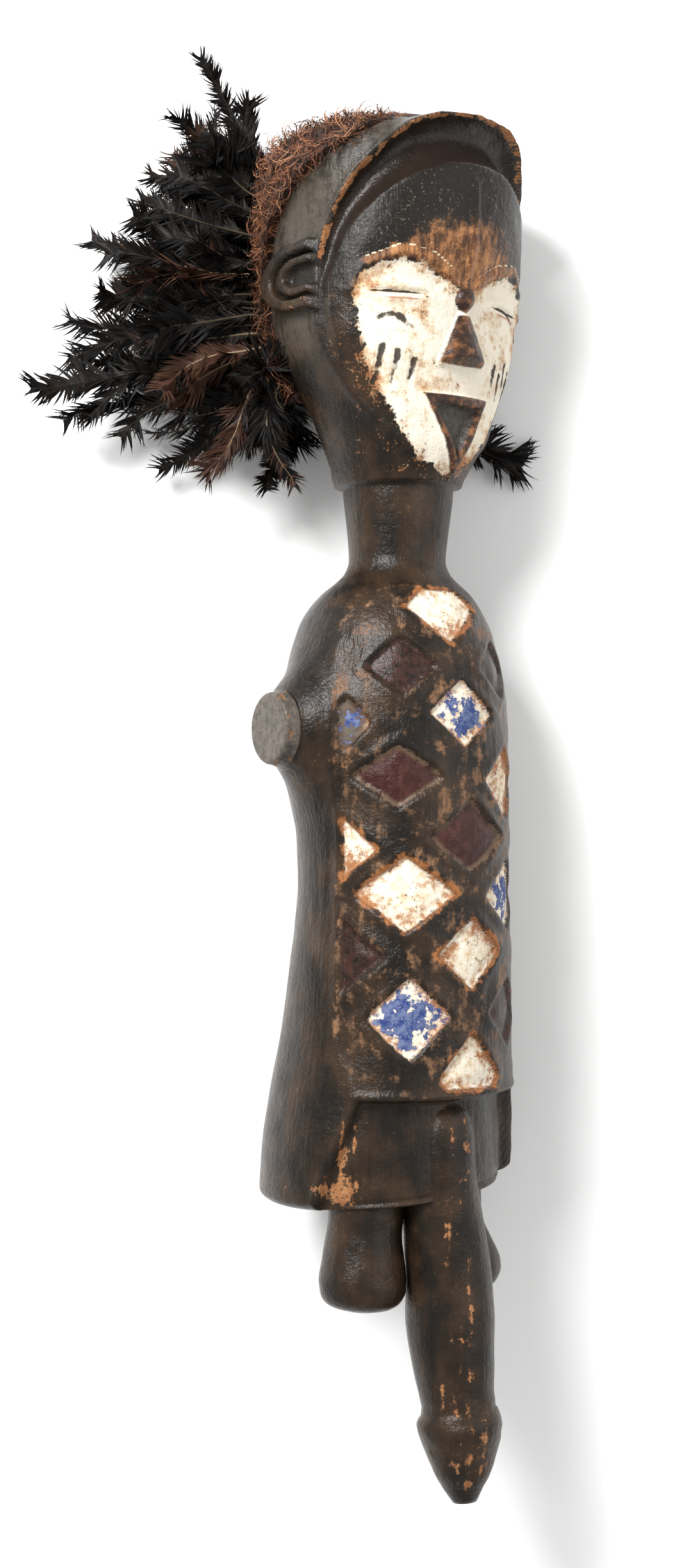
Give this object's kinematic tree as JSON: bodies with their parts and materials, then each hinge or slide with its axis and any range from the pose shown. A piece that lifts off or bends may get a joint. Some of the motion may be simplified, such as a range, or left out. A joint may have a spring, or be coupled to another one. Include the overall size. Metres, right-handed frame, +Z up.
{
  "type": "fetish figure",
  "caption": "Lying carved wooden figure with a hooded head, arm stubs, lozenge-panelled coat, leg stubs and a long shaft, with a fibre mat and feathers on the head's back.",
  "frame": {"origin": "centre of the bounding box at the floor the figure lies on", "axes": "+Y from the tip to the head along the figure, +Z up from the floor, +X to the side that the figure's front turns to"},
  "size_m": [0.271, 0.7664, 0.1383],
  "materials": {
    "patinated_wood": "dark brown-black patina with orange bare wood at worn edges, chalky white, blue and dark red pigment in places",
    "fibre": "matt reddish-brown plant fibre",
    "feather": "soft sheen, black to dark brown"
  },
  "bodies": {
    "root": {"carved_figure": "patinated_wood", "feather_01": "feather", "feather_02": "feather", "feather_03": "feather", "feather_04": "feather", "feather_05": "feather", "feather_06": "feather", "feather_07": "feather", "feather_08": "feather", "feather_09": "feather", "feather_10": "feather", "feather_11": "feather", "feather_12": "feather", "feather_13": "feather", "feather_14": "feather", "feather_15": "feather", "feather_16": "feather", "feather_17": "feather", "feather_18": "feather", "feather_19": "feather", "feather_20": "feather", "feather_21": "feather", "feather_22": "feather", "feather_23": "feather", "feather_24": "feather", "feather_25": "feather", "feather_26": "feather", "feather_27": "feather", "feather_28": "feather", "feather_29": "feather", "feather_30": "feather", "feather_31": "feather", "feather_32": "feather", "feather_33": "feather", "feather_34": "feather", "feather_35": "feather", "feather_36": "feather", "feather_37": "feather", "feather_38": "feather", "feather_39": "feather", "feather_40": "feather", "feather_41": "feather", "feather_42": "feather", "fibre_mat": "fibre"}
  },
  "joints": []
}
